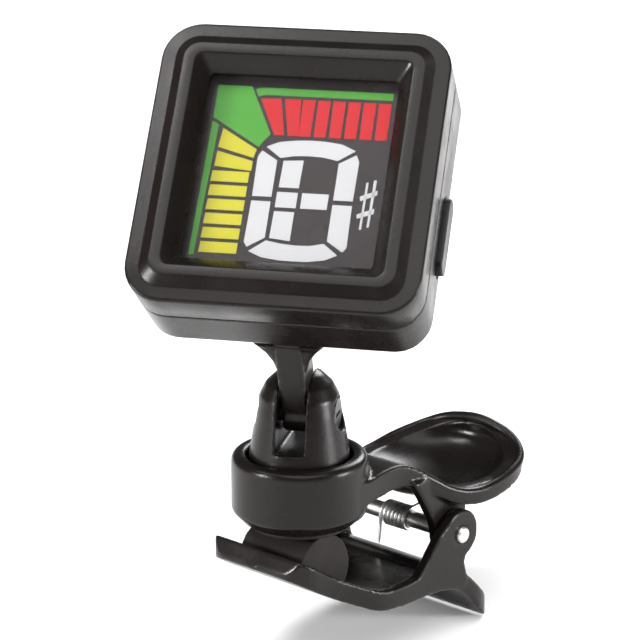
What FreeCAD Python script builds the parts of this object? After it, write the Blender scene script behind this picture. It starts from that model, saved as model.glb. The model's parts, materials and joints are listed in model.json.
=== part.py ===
import FreeCAD, Part
import math
import os
import Sketcher

# Clip-on tuner. Millimetres, +Z up, +X from the jaw's tip to its thumb levers.
# The origin is the grip point between the two rubber pads, under the swivel's axis.
# The head's pieces are drawn in the head's own frame: origin on the tilt axis,
# x to the right of the screen, y up the screen, z out of the screen.

doc = FreeCAD.newDocument("ClipOnTuner")

driving = [
    # swivel and tilt of the head at rest
    ("swivelYaw", -60.75), ("tiltBack", 39.5), ("tiltAxisZ", 16.9),
    # head
    ("headWidth", 40.8), ("headHeight", 42.1), ("headCorner", 5.5), ("headDraft", 1.6),
    ("headCentreY", 24.7), ("frontZ", 28.6), ("seamZ", 23.0), ("rearZ", 13.1), ("caseWall", 1.6),
    ("flangeWidth", 2.1), ("bandWidth", 1.4), ("bandRise", 1.0), ("rimWidth", 1.5),
    ("slopeWidth", 2.75), ("slopeDepth", 2.3), ("openingLand", 0.4), ("partLine", 0.1),
    # display stack
    ("lensWidth", 29.4), ("lensHeight", 30.6), ("lensThickness", 1.2),
    ("lcdWidth", 29.0), ("lcdHeight", 30.2), ("lcdThickness", 1.8), ("stackGap", 0.1),
    ("lightHeight", 26.0), ("lightThickness", 2.5), ("zebraWidth", 26.0), ("zebraDepth", 2.0),
    ("boardWidth", 34.0), ("boardHeight", 36.0), ("boardThickness", 1.2), ("boardZ", 18.4),
    # screw posts in the corners of the head
    ("postX", 16.3), ("postY", 16.9), ("postDiameter", 3.6), ("pilotDiameter", 1.6),
    ("screwHeadDiameter", 3.2), ("screwHeadDepth", 1.3), ("screwShank", 1.5), ("screwLength", 12.6),
    # power
    ("cellDiameter", 20.0), ("cellThickness", 3.2), ("cellY", 31.6), ("cellZ", 14.85),
    ("doorWidth", 22.8), ("doorHeight", 23.4), ("doorThickness", 1.4), ("doorGap", 0.15),
    # button
    ("buttonLength", 11.2), ("buttonWidth", 3.4), ("buttonY", 20.4), ("buttonZ", 17.2),
    ("buttonProud", 0.9), ("buttonGap", 0.12),
    # neck and tilt joint
    ("tongueThickness", 3.9), ("tongueRadius", 2.85), ("slotWidth", 4.3), ("slotBelowAxis", 4.5),
    ("flareWidth", 11.4), ("flareHeight", 7.6), ("flareTaper", 27.0), ("tiltShank", 3.0), ("tiltBore", 3.1),
    ("tiltHeadDiameter", 4.5), ("tiltHeadHeight", 1.5), ("tiltHeadFace", 4.1),
    ("nutFlats", 4.5), ("nutThickness", 1.6), ("nutFace", 3.6),
    # swivel bell and ring
    ("bellBaseRadius", 7.2), ("bellWaistRadius", 6.1), ("bellDomeHeight", 6.9),
    ("pocketFloorZ", 5.9), ("journalRadius", 3.5), ("journalBore", 3.56),
    ("ringRadius", 9.75), ("ringInner", 7.6), ("ringTopZ", 10.9), ("ringWallZ", 2.7),
    ("ringFootRadius", 8.1), ("ringFootZ", 0.9), ("floorUnderZ", 3.4), ("washerRecess", 5.2),
    ("washerRadius", 4.8), ("washerThickness", 0.7), ("swivelHeadRadius", 2.7),
    ("swivelHeadHeight", 1.3), ("swivelShank", 1.3), ("swivelLength", 8.0),
    # clip
    ("pinX", 22.0), ("pinZ", -5.0), ("pinRadius", 1.25), ("pinBore", 1.3), ("pinHalfLength", 12.6),
    ("innerEarFace", 10.1), ("innerEarThickness", 1.7), ("innerEarRadius", 3.4),
    ("outerEarFace", 12.0), ("outerEarThickness", 1.7), ("outerEarRadius", 3.7),
    ("coilRadius", 1.65), ("wireRadius", 0.3), ("coilPitch", 0.72), ("coilTurns", 6.25),
    ("padHalfLength", 5.8), ("padRadius", 5.4), ("padCentreX", -1.3), ("padTopZ", -0.1),
    ("upperPadRadius", 7.3), ("upperPadZ", 0.1),
]

sheet = doc.addObject("Spreadsheet::Sheet", "Sizes")
for row, (name, value) in enumerate(driving, start=1):
    sheet.set(f"A{row}", name)
    sheet.set(f"B{row}", str(value))
    sheet.setAlias(f"B{row}", name)
doc.recompute()


def size(name):
    return float(sheet.get(name))


def expr(text):
    """Writes every sheet name in an expression with the sheet's own name before it."""
    out = text
    for name, _ in sorted(driving, key=lambda pair: -len(pair[0])):
        out = out.replace(f"<{name}>", f"Sizes.{name}")
    return out


def vec(x, y, z):
    return FreeCAD.Vector(x, y, z)


# ---- placements ----

def headPlacement():
    turn = FreeCAD.Rotation(vec(0, 0, 1), size("swivelYaw"))
    lean = FreeCAD.Rotation(vec(1, 0, 0), 90 - size("tiltBack"))
    return FreeCAD.Placement(vec(0, 0, size("tiltAxisZ")), turn.multiply(lean))


def bellPlacement():
    turn = FreeCAD.Rotation(vec(0, 0, 1), size("swivelYaw"))
    return FreeCAD.Placement(vec(0, 0, size("tiltAxisZ")), turn)


# ---- sketch and feature helpers ----

def newBody(label, placement=None):
    body = doc.addObject("PartDesign::Body", label)
    body.Label = label
    if placement is not None:
        body.Placement = placement
    return body


def newSketch(body, name, plane, x="0", y="0", z="0"):
    sketch = body.newObject("Sketcher::SketchObject", name)
    for feature in body.Origin.OriginFeatures:
        if feature.Role == plane:
            sketch.AttachmentSupport = (feature, "")
    sketch.MapMode = "FlatFace"
    sketch.setExpression("AttachmentOffset.Base.x", expr(x))
    sketch.setExpression("AttachmentOffset.Base.y", expr(y))
    sketch.setExpression("AttachmentOffset.Base.z", expr(z))
    return sketch


def dimension(sketch, kind, refs, value, text):
    index = sketch.addConstraint(Sketcher.Constraint(kind, *refs, value))
    sketch.setExpression(f"Constraints[{index}]", expr(text))


working = doc.addObject("Spreadsheet::Sheet", "Working")


def evaluate(text):
    """The value of an expression now, worked out in a sheet that nothing depends on."""
    working.set("A1", "=" + expr(text))
    doc.recompute([working])
    value = working.get("A1")
    return float(getattr(value, "Value", value))


def roundRect(sketch, width, height, radius):
    """A rectangle with round corners, centred on the sketch's origin."""
    w = evaluate(width) / 2
    h = evaluate(height) / 2
    r = evaluate(radius)
    corners = [(w - r, -h + r, -90), (w - r, h - r, 0), (-w + r, h - r, 90), (-w + r, -h + r, 180)]
    lines = [((-w + r, -h), (w - r, -h)), ((w, -h + r), (w, h - r)),
             ((w - r, h), (-w + r, h)), ((-w, h - r), (-w, -h + r))]
    for start, end in lines:
        sketch.addGeometry(Part.LineSegment(vec(*start, 0), vec(*end, 0)))
    for x, y, angle in corners:
        circle = Part.Circle(vec(x, y, 0), vec(0, 0, 1), r)
        first = math.radians(angle)
        sketch.addGeometry(Part.ArcOfCircle(circle, first, first + math.pi / 2))
    for side in range(4):
        sketch.addConstraint(Sketcher.Constraint("Tangent", side, 2, 4 + side, 1))
        sketch.addConstraint(Sketcher.Constraint("Tangent", 4 + side, 2, (side + 1) % 4, 1))
    sketch.addConstraint(Sketcher.Constraint("Horizontal", 0))
    sketch.addConstraint(Sketcher.Constraint("Vertical", 1))
    sketch.addConstraint(Sketcher.Constraint("Horizontal", 2))
    sketch.addConstraint(Sketcher.Constraint("Vertical", 3))
    for corner in (5, 6, 7):
        sketch.addConstraint(Sketcher.Constraint("Equal", 4, corner))
    dimension(sketch, "Radius", (4,), r, radius)
    dimension(sketch, "DistanceX", (-1, 1, 1, 1), w, f"({width}) / 2")
    dimension(sketch, "DistanceX", (3, 1, -1, 1), w, f"({width}) / 2")
    dimension(sketch, "DistanceY", (-1, 1, 2, 1), h, f"({height}) / 2")
    dimension(sketch, "DistanceY", (0, 1, -1, 1), h, f"({height}) / 2")


def circles(sketch, diameter, centres):
    """Equal circles at centres given as pairs of expressions."""
    for x, y in centres:
        cx = evaluate(x)
        cy = evaluate(y)
        index = sketch.addGeometry(Part.Circle(vec(cx, cy, 0), vec(0, 0, 1), evaluate(diameter) / 2))
        dimension(sketch, "Diameter", (index,), evaluate(diameter), diameter)
        if x == "0" and y == "0":
            sketch.addConstraint(Sketcher.Constraint("Coincident", index, 3, -1, 1))
            continue
        dimension(sketch, "DistanceX", (-1, 1, index, 3), cx, x)
        dimension(sketch, "DistanceY", (-1, 1, index, 3), cy, y)


def polygon(sketch, points):
    """A closed outline through points given as pairs of expressions."""
    count = len(points)
    places = [vec(evaluate(x), evaluate(y), 0) for x, y in points]
    for i in range(count):
        sketch.addGeometry(Part.LineSegment(places[i], places[(i + 1) % count]))
    for i in range(count):
        sketch.addConstraint(Sketcher.Constraint("Coincident", i, 2, (i + 1) % count, 1))
    for i, (x, y) in enumerate(points):
        dimension(sketch, "DistanceX", (-1, 1, i, 1), places[i].x, x)
        dimension(sketch, "DistanceY", (-1, 1, i, 1), places[i].y, y)


def pad(body, sketch, length, down=False, taper=None, both=False):
    feature = body.newObject("PartDesign::Pad", sketch.Name + "Pad")
    feature.Profile = sketch
    feature.setExpression("Length", expr(length))
    feature.Reversed = down
    feature.Midplane = both
    if taper is not None:
        feature.setExpression("TaperAngle", expr(taper))
    doc.recompute()
    return feature


def pocket(body, sketch, length, up=False, taper=None, both=False):
    feature = body.newObject("PartDesign::Pocket", sketch.Name + "Pocket")
    feature.Profile = sketch
    feature.setExpression("Length", expr(length))
    feature.Reversed = up
    feature.Midplane = both
    if taper is not None:
        feature.setExpression("TaperAngle", expr(taper))
    before = body.Shape.Volume
    doc.recompute()
    if body.Shape.Volume > before - 1e-6:
        raise RuntimeError(f"{feature.Name} cuts nothing")
    return feature


def corners():
    return [(f"{sx}<postX>", f"{sy}<postY>") for sx in ("", "-") for sy in ("", "-")]


def shapePart(label, shape, placement=None):
    part = doc.addObject("Part::Feature", label)
    part.Label = label
    part.Shape = shape
    if placement is not None:
        part.Placement = placement
    return part


# ---- front case: stepped bezel, cavity and screw posts ----

def frontCase():
    body = newBody("front_case", headPlacement())
    outer = newSketch(body, "FrontOuter", "XY_Plane", y="<headCentreY>", z="<frontZ>")
    roundRect(outer, "<headWidth>", "<headHeight>", "<headCorner>")
    pad(body, outer, "<frontZ> - <seamZ>", down=True, taper="-<headDraft>")
    band = newSketch(body, "FrontBand", "XY_Plane", y="<headCentreY>", z="<frontZ>")
    roundRect(band, "<headWidth> - 2 * <flangeWidth>", "<headHeight> - 2 * <flangeWidth>",
              "<headCorner> - <flangeWidth>")
    pad(body, band, "<bandRise>", taper="-atan(<bandWidth> / <bandRise>)")
    inset = "2 * (<flangeWidth> + <bandWidth> + <rimWidth>)"
    slope = newSketch(body, "FrontSlope", "XY_Plane", y="<headCentreY>", z="<frontZ> + <bandRise>")
    roundRect(slope, f"<headWidth> - {inset}", f"<headHeight> - {inset}", "2.9")
    pocket(body, slope, "<slopeDepth>", taper="-atan(<slopeWidth> / <slopeDepth>)")
    opening = newSketch(body, "FrontOpening", "XY_Plane", y="<headCentreY>", z="<frontZ>")
    hole = "2 * (<flangeWidth> + <bandWidth> + <rimWidth> + <slopeWidth>)"
    roundRect(opening, f"<headWidth> - {hole}", f"<headHeight> - {hole}", "0.15")
    pocket(body, opening, "<frontZ> - <seamZ>")
    cavity = newSketch(body, "FrontCavity", "XY_Plane", y="<headCentreY>", z="<seamZ>")
    roundRect(cavity, "<headWidth> - 2 * <caseWall> - 0.8", "<headHeight> - 2 * <caseWall> - 0.8",
              "<headCorner> - <caseWall>")
    pocket(body, cavity, "<frontZ> + <bandRise> - <slopeDepth> - <openingLand> - <seamZ>", up=True)
    posts = newSketch(body, "FrontPosts", "XY_Plane", y="<headCentreY>", z="<seamZ>")
    circles(posts, "<postDiameter>", corners())
    pad(body, posts, "4.4")
    pilots = newSketch(body, "FrontPilots", "XY_Plane", y="<headCentreY>", z="<seamZ>")
    circles(pilots, "<pilotDiameter>", corners())
    pocket(body, pilots, "3.6", up=True)
    return body


# ---- rear case: shell, screw posts, door opening, button slot, neck and tongue ----

def rearCase():
    body = newBody("rear_case", headPlacement())
    shrink = "2 * (<frontZ> - <seamZ> + <partLine>) * tan(<headDraft> * 1deg)"
    outer = newSketch(body, "RearOuter", "XY_Plane", y="<headCentreY>", z="<seamZ> - <partLine>")
    roundRect(outer, f"<headWidth> - {shrink}", f"<headHeight> - {shrink}", "<headCorner> - 0.2")
    block = pad(body, outer, "<seamZ> - <partLine> - <rearZ>", down=True, taper="-<headDraft>")
    back = body.newObject("PartDesign::Chamfer", "RearEdge")
    rim = [f"Edge{i + 1}" for i, edge in enumerate(block.Shape.Edges)
           if abs(edge.BoundBox.ZMax - size("rearZ")) < 1e-4]
    back.Base = (block, rim)
    back.Size = 1.4
    doc.recompute()
    cavity = newSketch(body, "RearCavity", "XY_Plane", y="<headCentreY>", z="<seamZ> - <partLine>")
    inner = "(2 * <caseWall> + 2.4)"
    roundRect(cavity, f"<headWidth> - {inner}", f"<headHeight> - {inner}", "<headCorner> - <caseWall>")
    pocket(body, cavity, "<seamZ> - <partLine> - <rearZ> - <caseWall>")
    posts = newSketch(body, "RearPosts", "XY_Plane", y="<headCentreY>", z="<rearZ> + 0.8")
    circles(posts, "<postDiameter>", corners())
    pad(body, posts, "<seamZ> - <partLine> - <rearZ> - 0.8")
    holes = newSketch(body, "RearScrewHoles", "XY_Plane", y="<headCentreY>", z="<seamZ>")
    circles(holes, "<screwShank> + 0.3", corners())
    pocket(body, holes, "<seamZ> - <rearZ> + 1")
    sinks = newSketch(body, "RearScrewSinks", "XY_Plane", y="<headCentreY>", z="<rearZ>")
    circles(sinks, "<screwHeadDiameter> + 0.2", corners())
    pocket(body, sinks, "<screwHeadDepth> + 0.15", up=True)
    door = newSketch(body, "RearDoorway", "XY_Plane", y="<cellY>", z="<rearZ>")
    roundRect(door, "<doorWidth> + 2 * <doorGap>", "<doorHeight> + 2 * <doorGap>", "2.0")
    pocket(body, door, "<caseWall> + 0.5", up=True)
    slot = newSketch(body, "RearButtonSlot", "YZ_Plane", x="<buttonY>", y="<buttonZ>", z="<headWidth> / 2 - 4")
    roundRect(slot, "<buttonLength> + 2 * <buttonGap>", "<buttonWidth> + 2 * <buttonGap>",
              "<buttonWidth> / 2 - 0.2 + <buttonGap>")
    pocket(body, slot, "6", up=True)
    return body


def neck(body):
    """The arm from the head's back to the tilt axis, with its flared root."""
    arm = newSketch(body, "NeckArm", "YZ_Plane")
    polygon(arm, [("-2.1", "1.37"), ("5.0", "<rearZ> + <caseWall>"), ("13.0", "<rearZ> + <caseWall>"),
                  ("2.1", "-1.37")])
    pad(body, arm, "<tongueThickness>", both=True)
    eye = newSketch(body, "NeckEye", "YZ_Plane")
    circles(eye, "2 * <tongueRadius>", [("0", "0")])
    pad(body, eye, "<tongueThickness>", both=True)
    flare = newSketch(body, "NeckFlare", "XY_Plane", y="8.5", z="<rearZ> + <caseWall> - 0.1")
    roundRect(flare, "<flareWidth>", "<flareHeight>", "2.0")
    pad(body, flare, "<caseWall> + 3.2", down=True, taper="-<flareTaper>")
    bore = newSketch(body, "NeckBore", "YZ_Plane")
    circles(bore, "<tiltBore>", [("0", "0")])
    pocket(body, bore, "<tongueThickness> + 2", both=True)


# ---- plates and small pieces of the head ----

def plate(label, width, height, radius, y, z, thickness):
    body = newBody(label, headPlacement())
    outline = newSketch(body, label + "Outline", "XY_Plane", y=y, z=z)
    roundRect(outline, width, height, radius)
    pad(body, outline, thickness)
    return body


def displayStack():
    lensBack = "<frontZ> + <bandRise> - <slopeDepth> - <openingLand> - <stackGap> - <lensThickness>"
    plate("display_window", "<lensWidth>", "<lensHeight>", "0.8", "<headCentreY>", lensBack,
          "<lensThickness>")
    lcdBack = f"{lensBack} - <stackGap> - <lcdThickness>"
    plate("lcd_panel", "<lcdWidth>", "<lcdHeight>", "0.3", "<headCentreY>", lcdBack, "<lcdThickness>")
    lightBack = f"{lcdBack} - <stackGap> - <lightThickness>"
    plate("backlight_panel", "<lcdWidth> - 1", "<lightHeight>", "0.5",
          "<headCentreY> + (<lcdHeight> - <lightHeight>) / 2", lightBack, "<lightThickness>")
    boardTop = "<boardZ> + <boardThickness>"
    plate("zebra_connector", "<zebraWidth>", "<zebraDepth>", "0.3",
          "<headCentreY> - <lcdHeight> / 2 + <zebraDepth> / 2 + 0.4", boardTop, f"{lcdBack} - ({boardTop})")


def circuitBoard():
    body = plate("circuit_board", "<boardWidth>", "<boardHeight>", "1.0", "<headCentreY>", "<boardZ>",
                 "<boardThickness>")
    notches = newSketch(body, "BoardNotches", "XY_Plane", y="<headCentreY>", z="<boardZ>")
    circles(notches, "<postDiameter> + 1.2", corners())
    pocket(body, notches, "<boardThickness>", up=True)
    relief = newSketch(body, "BoardButtonRelief", "XY_Plane", x="<boardWidth> / 2", y="<buttonY>", z="<boardZ>")
    roundRect(relief, "2.4", "<buttonLength> + 1.6", "0.4")
    pocket(body, relief, "<boardThickness>", up=True)
    return body


def batteryDoor():
    body = newBody("battery_door", headPlacement())
    panel = newSketch(body, "DoorPanel", "XY_Plane", y="<cellY>", z="<rearZ>")
    roundRect(panel, "<doorWidth>", "<doorHeight>", "1.9")
    pad(body, panel, "<doorThickness>")
    tabs = newSketch(body, "DoorTabs", "XY_Plane", y="<cellY> - <doorHeight> / 2 + 0.1",
                     z="<rearZ> + <caseWall> + 0.05")
    roundRect(tabs, "8", "1.7", "0.4")
    pad(body, tabs, "0.6")
    root = newSketch(body, "DoorTabRoot", "XY_Plane", y="<cellY> - <doorHeight> / 2 + 0.6", z="<rearZ> + 1")
    roundRect(root, "8", "0.8", "0.3")
    pad(body, root, "<caseWall> - 0.5")
    grip = newSketch(body, "DoorGrip", "XY_Plane", y="<cellY> + <doorHeight> / 2 - 2.6", z="<rearZ>")
    roundRect(grip, "9", "1.6", "0.7")
    pocket(body, grip, "0.7", up=True)
    return body


def coinCell():
    can = doc.addObject("Part::Cylinder", "CellCan")
    can.setExpression("Radius", expr("<cellDiameter> / 2"))
    can.setExpression("Height", expr("<cellThickness>"))
    cell = doc.addObject("Part::Fillet", "coin_cell")
    doc.recompute()
    cell.Base = can
    cell.Edges = [(i + 1, 0.35, 0.35) for i, edge in enumerate(can.Shape.Edges)
                  if isinstance(edge.Curve, Part.Circle)]
    cell.Label = "coin_cell"
    cell.Placement = headPlacement().multiply(
        FreeCAD.Placement(vec(0, size("cellY"), size("cellZ")), FreeCAD.Rotation()))
    return cell


def contacts():
    """A sprung strip behind the cell's negative face and one on its rim."""
    rearGap = "<boardZ> - <cellZ> - <cellThickness>"
    negative = newBody("negative_contact", headPlacement())
    strip = newSketch(negative, "NegativeStrip", "XY_Plane", y="<cellY>", z=f"<boardZ> - ({rearGap}) + 0.03")
    roundRect(strip, "4.0", "12.0", "1.5")
    pad(negative, strip, f"{rearGap} - 0.06")
    positive = newBody("positive_contact", headPlacement())
    wall = newSketch(positive, "PositiveWall", "XY_Plane", x="-<cellDiameter> / 2 - 0.45", y="<cellY>",
                     z="<cellZ> + 0.2")
    roundRect(wall, "0.4", "8.0", "0.15")
    pad(positive, wall, "<boardZ> - <cellZ> - 0.25")
    foot = newSketch(positive, "PositiveFoot", "XY_Plane", x="-<cellDiameter> / 2 - 1.6", y="<cellY>",
                     z="<boardZ> - 0.45")
    roundRect(foot, "2.6", "5.0", "0.3")
    pad(positive, foot, "0.4")


def boardParts():
    boardTop = "<boardZ> + <boardThickness>"
    chip = newBody("controller_chip", headPlacement())
    blob = newSketch(chip, "ChipBlob", "XY_Plane", y="<headCentreY> + 2", z=boardTop)
    circles(blob, "7.0", [("0", "0")])
    pad(chip, blob, "1.0", taper="-35")
    crystal = newBody("quartz_crystal", headPlacement())
    can = newSketch(crystal, "CrystalCan", "XY_Plane", x="-10", y="13", z="<boardZ> - 2.2")
    roundRect(can, "7.0", "2.6", "1.2")
    pad(crystal, can, "2.2")
    sensor = newBody("piezo_disc", headPlacement())
    brass = newSketch(sensor, "SensorBrass", "XY_Plane", x="-1", y="12.4", z="<rearZ> + <caseWall> + 0.02")
    circles(brass, "11.0", [("0", "0")])
    pad(sensor, brass, "0.25")
    ceramic = newSketch(sensor, "SensorCeramic", "XY_Plane", x="-1", y="12.4", z="<rearZ> + <caseWall> + 0.27")
    circles(ceramic, "7.6", [("0", "0")])
    pad(sensor, ceramic, "0.2")


def powerSwitch():
    """A side-acting switch under the board's edge, its plunger and the case's button."""
    reach = "<headWidth> / 2 - 0.35"
    switch = newBody("tact_switch", headPlacement())
    block = newSketch(switch, "SwitchBlock", "XY_Plane", x="12.6", y="<buttonY>", z="<boardZ> - 3.0")
    roundRect(block, "3.4", "6.0", "0.3")
    pad(switch, block, "3.0")
    throat = newSketch(switch, "SwitchThroat", "YZ_Plane", x="<buttonY>", y="<buttonZ> - 0.1", z="14.4")
    circles(throat, "1.72", [("0", "0")])
    pocket(switch, throat, "1.6")
    button = newBody("power_button", headPlacement())
    cap = newSketch(button, "ButtonCap", "YZ_Plane", x="<buttonY>", y="<buttonZ>", z="17.55")
    roundRect(cap, "<buttonLength>", "<buttonWidth>", "<buttonWidth> / 2 - 0.2")
    pad(button, cap, f"{reach} + <buttonProud> - 17.55")
    flange = newSketch(button, "ButtonFlange", "YZ_Plane", x="<buttonY>", y="<buttonZ>", z="16.75")
    roundRect(flange, "<buttonLength> + 0.6", "<buttonWidth> + 0.9", "1.0")
    pad(button, flange, "0.8")
    plunger = newBody("switch_plunger", headPlacement())
    pin = newSketch(plunger, "PlungerPin", "YZ_Plane", x="<buttonY>", y="<buttonZ> - 0.1", z="13.5")
    circles(pin, "1.6", [("0", "0")])
    pad(plunger, pin, "3.2")


def caseScrews():
    """Four equal self-tapping screws from the back, one in each corner."""
    length = size("screwLength")
    head = Part.makeCylinder(size("screwHeadDiameter") / 2, size("screwHeadDepth"))
    head = head.makeFillet(0.3, [head.Edges[0]])
    shank = Part.makeCylinder(size("screwShank") / 2, length - 1.2, vec(0, 0, 0))
    tip = Part.makeCone(size("screwShank") / 2, 0.25, 1.2, vec(0, 0, length - 1.2))
    screw = head.fuse([shank, tip]).removeSplitter()
    cross = Part.makeBox(1.8, 0.45, 0.7, vec(-0.9, -0.225, -0.01))
    screw = screw.cut([cross, Part.makeBox(0.45, 1.8, 0.7, vec(-0.225, -0.9, -0.01))])
    base = size("rearZ") + 0.1
    copies = []
    for sx in (1, -1):
        for sy in (1, -1):
            place = vec(sx * size("postX"), size("headCentreY") + sy * size("postY"), base)
            copies.append(screw.translated(place))
    return shapePart("case_screws", Part.Compound(copies), headPlacement())


# ---- swivel bell and its fastenings ----

def boundCylinder(name, radius, height, x="0", y="0", z="0", turn=None):
    part = doc.addObject("Part::Cylinder", name)
    part.setExpression("Radius", expr(radius))
    part.setExpression("Height", expr(height))
    if turn is not None:
        part.Placement = FreeCAD.Placement(vec(0, 0, 0), turn)
    part.setExpression("Placement.Base.x", expr(x))
    part.setExpression("Placement.Base.y", expr(y))
    part.setExpression("Placement.Base.z", expr(z))
    return part


def swivelBell():
    """A dome on a cone and a journal, slotted from the top, bored across for the tilt screw."""
    body = newBody("swivel_bell", bellPlacement())
    profile = newSketch(body, "BellProfile", "XZ_Plane")
    rise = "<pocketFloorZ> + 0.06 - <tiltAxisZ>"
    foot = "<floorUnderZ> - 0.04 - <tiltAxisZ>"
    ringTop = "<ringTopZ> - <tiltAxisZ> - 0.2"
    polygon(profile, [("0", foot), ("<journalRadius>", foot), ("<journalRadius>", rise),
                      ("<bellBaseRadius>", rise), ("<bellBaseRadius>", ringTop),
                      ("<bellWaistRadius>", "0.3"), ("<bellWaistRadius> * 0.93", "2.6"),
                      ("<bellWaistRadius> * 0.78", "4.4"), ("<bellWaistRadius> * 0.54", "5.8"),
                      ("<bellWaistRadius> * 0.27", "<bellDomeHeight> - 0.25"),
                      ("0", "<bellDomeHeight>")])
    turn = body.newObject("PartDesign::Revolution", "BellTurn")
    turn.Profile = profile
    turn.ReferenceAxis = (profile, ["V_Axis"])
    turn.Angle = 360
    doc.recompute()
    slot = newSketch(body, "BellSlot", "XZ_Plane")
    polygon(slot, [("-<slotWidth> / 2", "-<slotBelowAxis>"), ("<slotWidth> / 2", "-<slotBelowAxis>"),
                   ("<slotWidth> / 2", "<bellDomeHeight> + 1"), ("-<slotWidth> / 2", "<bellDomeHeight> + 1")])
    pocket(body, slot, "30", both=True)
    cross = newSketch(body, "BellCrossBore", "YZ_Plane")
    circles(cross, "<tiltBore>", [("0", "0")])
    pocket(body, cross, "30", both=True)
    recess = newSketch(body, "BellHeadRecess", "YZ_Plane", z="<tiltHeadFace>")
    circles(recess, "<tiltHeadDiameter> + 0.3", [("0", "0")])
    pocket(body, recess, "5", up=True)
    trap = newSketch(body, "BellNutTrap", "YZ_Plane", z="-<nutFace>")
    hexagon(trap, "<nutFlats> + 0.1")
    pocket(body, trap, "5")
    pilot = newSketch(body, "BellPilot", "XY_Plane", z=foot)
    circles(pilot, "2 * <swivelShank>", [("0", "0")])
    pocket(body, pilot, "<swivelLength> - <washerThickness>", up=True)
    return body


def hexagon(sketch, flats):
    """A hexagon about the origin, across flats along the first axis."""
    half = f"({flats}) / 2"
    point = f"({flats}) / 2 / cos(30 * 1deg)"
    polygon(sketch, [(half, f"-{point} / 2"), (half, f"{point} / 2"), ("0", point),
                     (f"-{half}", f"{point} / 2"), (f"-{half}", f"-{point} / 2"), ("0", f"-{point}")])


def tiltFastenings():
    screw = newBody("tilt_screw", bellPlacement())
    head = newSketch(screw, "TiltHead", "YZ_Plane", z="<tiltHeadFace>")
    circles(head, "<tiltHeadDiameter>", [("0", "0")])
    pad(screw, head, "<tiltHeadHeight>")
    shank = newSketch(screw, "TiltShank", "YZ_Plane", z="<tiltHeadFace>")
    circles(shank, "<tiltShank>", [("0", "0")])
    pad(screw, shank, "<tiltHeadFace> + <nutFace> + <nutThickness>", down=True)
    driver = newSketch(screw, "TiltDriver", "YZ_Plane", z="<tiltHeadFace> + <tiltHeadHeight>")
    polygon(driver, [("-1.5", "-0.3"), ("1.5", "-0.3"), ("1.5", "0.3"), ("-1.5", "0.3")])
    pocket(screw, driver, "0.9")
    nut = newBody("tilt_nut", bellPlacement())
    outline = newSketch(nut, "NutOutline", "YZ_Plane", z="-<nutFace>")
    hexagon(outline, "<nutFlats>")
    pad(nut, outline, "<nutThickness>", down=True)
    thread = newSketch(nut, "NutThread", "YZ_Plane", z="-<nutFace>")
    circles(thread, "<tiltShank>", [("0", "0")])
    pocket(nut, thread, "<nutThickness> + 1")


def swivelFastenings():
    washerTop = "<floorUnderZ> - 0.05"
    washer = newBody("swivel_washer")
    ring = newSketch(washer, "WasherRing", "XY_Plane", z=washerTop)
    circles(ring, "2 * <washerRadius>", [("0", "0")])
    pad(washer, ring, "<washerThickness>", down=True)
    hole = newSketch(washer, "WasherHole", "XY_Plane", z=washerTop)
    circles(hole, "2 * <swivelShank> + 0.2", [("0", "0")])
    pocket(washer, hole, "<washerThickness> + 1")
    screw = newBody("swivel_screw")
    seat = f"{washerTop} - <washerThickness>"
    head = newSketch(screw, "SwivelHead", "XY_Plane", z=seat)
    circles(head, "2 * <swivelHeadRadius>", [("0", "0")])
    pad(screw, head, "<swivelHeadHeight>", down=True)
    shank = newSketch(screw, "SwivelShank", "XY_Plane", z=seat)
    circles(shank, "2 * <swivelShank>", [("0", "0")])
    pad(screw, shank, "<swivelLength>")
    driver = newSketch(screw, "SwivelDriver", "XY_Plane", z=f"{seat} - <swivelHeadHeight>")
    polygon(driver, [("-1.8", "-0.3"), ("1.8", "-0.3"), ("1.8", "0.3"), ("-1.8", "0.3")])
    pocket(screw, driver, "0.7", up=True)


# ---- the clip's two levers ----

def spline(points):
    curve = Part.BSplineCurve()
    curve.interpolate(points)
    return curve.toShape()


def sideWeb(top, bottom, halfWidth):
    """The solid between two side-view curves, extruded across the clip."""
    upper = spline([vec(x, -halfWidth, z) for x, z in top])
    lower = spline([vec(x, -halfWidth, z) for x, z in bottom])
    front = Part.LineSegment(vec(top[0][0], -halfWidth, top[0][1]),
                             vec(bottom[0][0], -halfWidth, bottom[0][1])).toShape()
    rear = Part.LineSegment(vec(top[-1][0], -halfWidth, top[-1][1]),
                            vec(bottom[-1][0], -halfWidth, bottom[-1][1])).toShape()
    wire = Part.Wire(Part.__sortEdges__([upper, rear, lower, front]))
    return Part.Face(wire).extrude(vec(0, 2 * halfWidth, 0))


def planPrism(edges, low, high):
    wire = Part.Wire(Part.__sortEdges__(edges))
    return Part.Face(wire).extrude(vec(0, 0, high - low)).translated(vec(0, 0, low))


def mirroredOutline(points):
    """Plan edges from one side's points: a smooth side, its mirror and straight ends."""
    left = [vec(x, y, 0) for x, y in points]
    right = [vec(x, -y, 0) for x, y in points]
    edges = [spline(left), spline(right)]
    for a, b in ((left[0], right[0]), (left[-1], right[-1])):
        if (a - b).Length > 1e-6:
            edges.append(Part.LineSegment(a, b).toShape())
    return edges


def earPlate(points, face, thickness, side):
    """A flat ear cut to an outline of x, z points; face is its outer face's distance."""
    inner = face - thickness
    start = inner if side > 0 else -face
    outline = [vec(x, start, z) for x, z in points]
    wire = Part.makePolygon(outline + [outline[0]])
    return Part.Face(wire).extrude(vec(0, thickness, 0))


def drum(radius, x, z, start, length):
    """A cylinder across the clip."""
    return Part.makeCylinder(radius, length, vec(x, start, z), vec(0, 1, 0))


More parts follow.
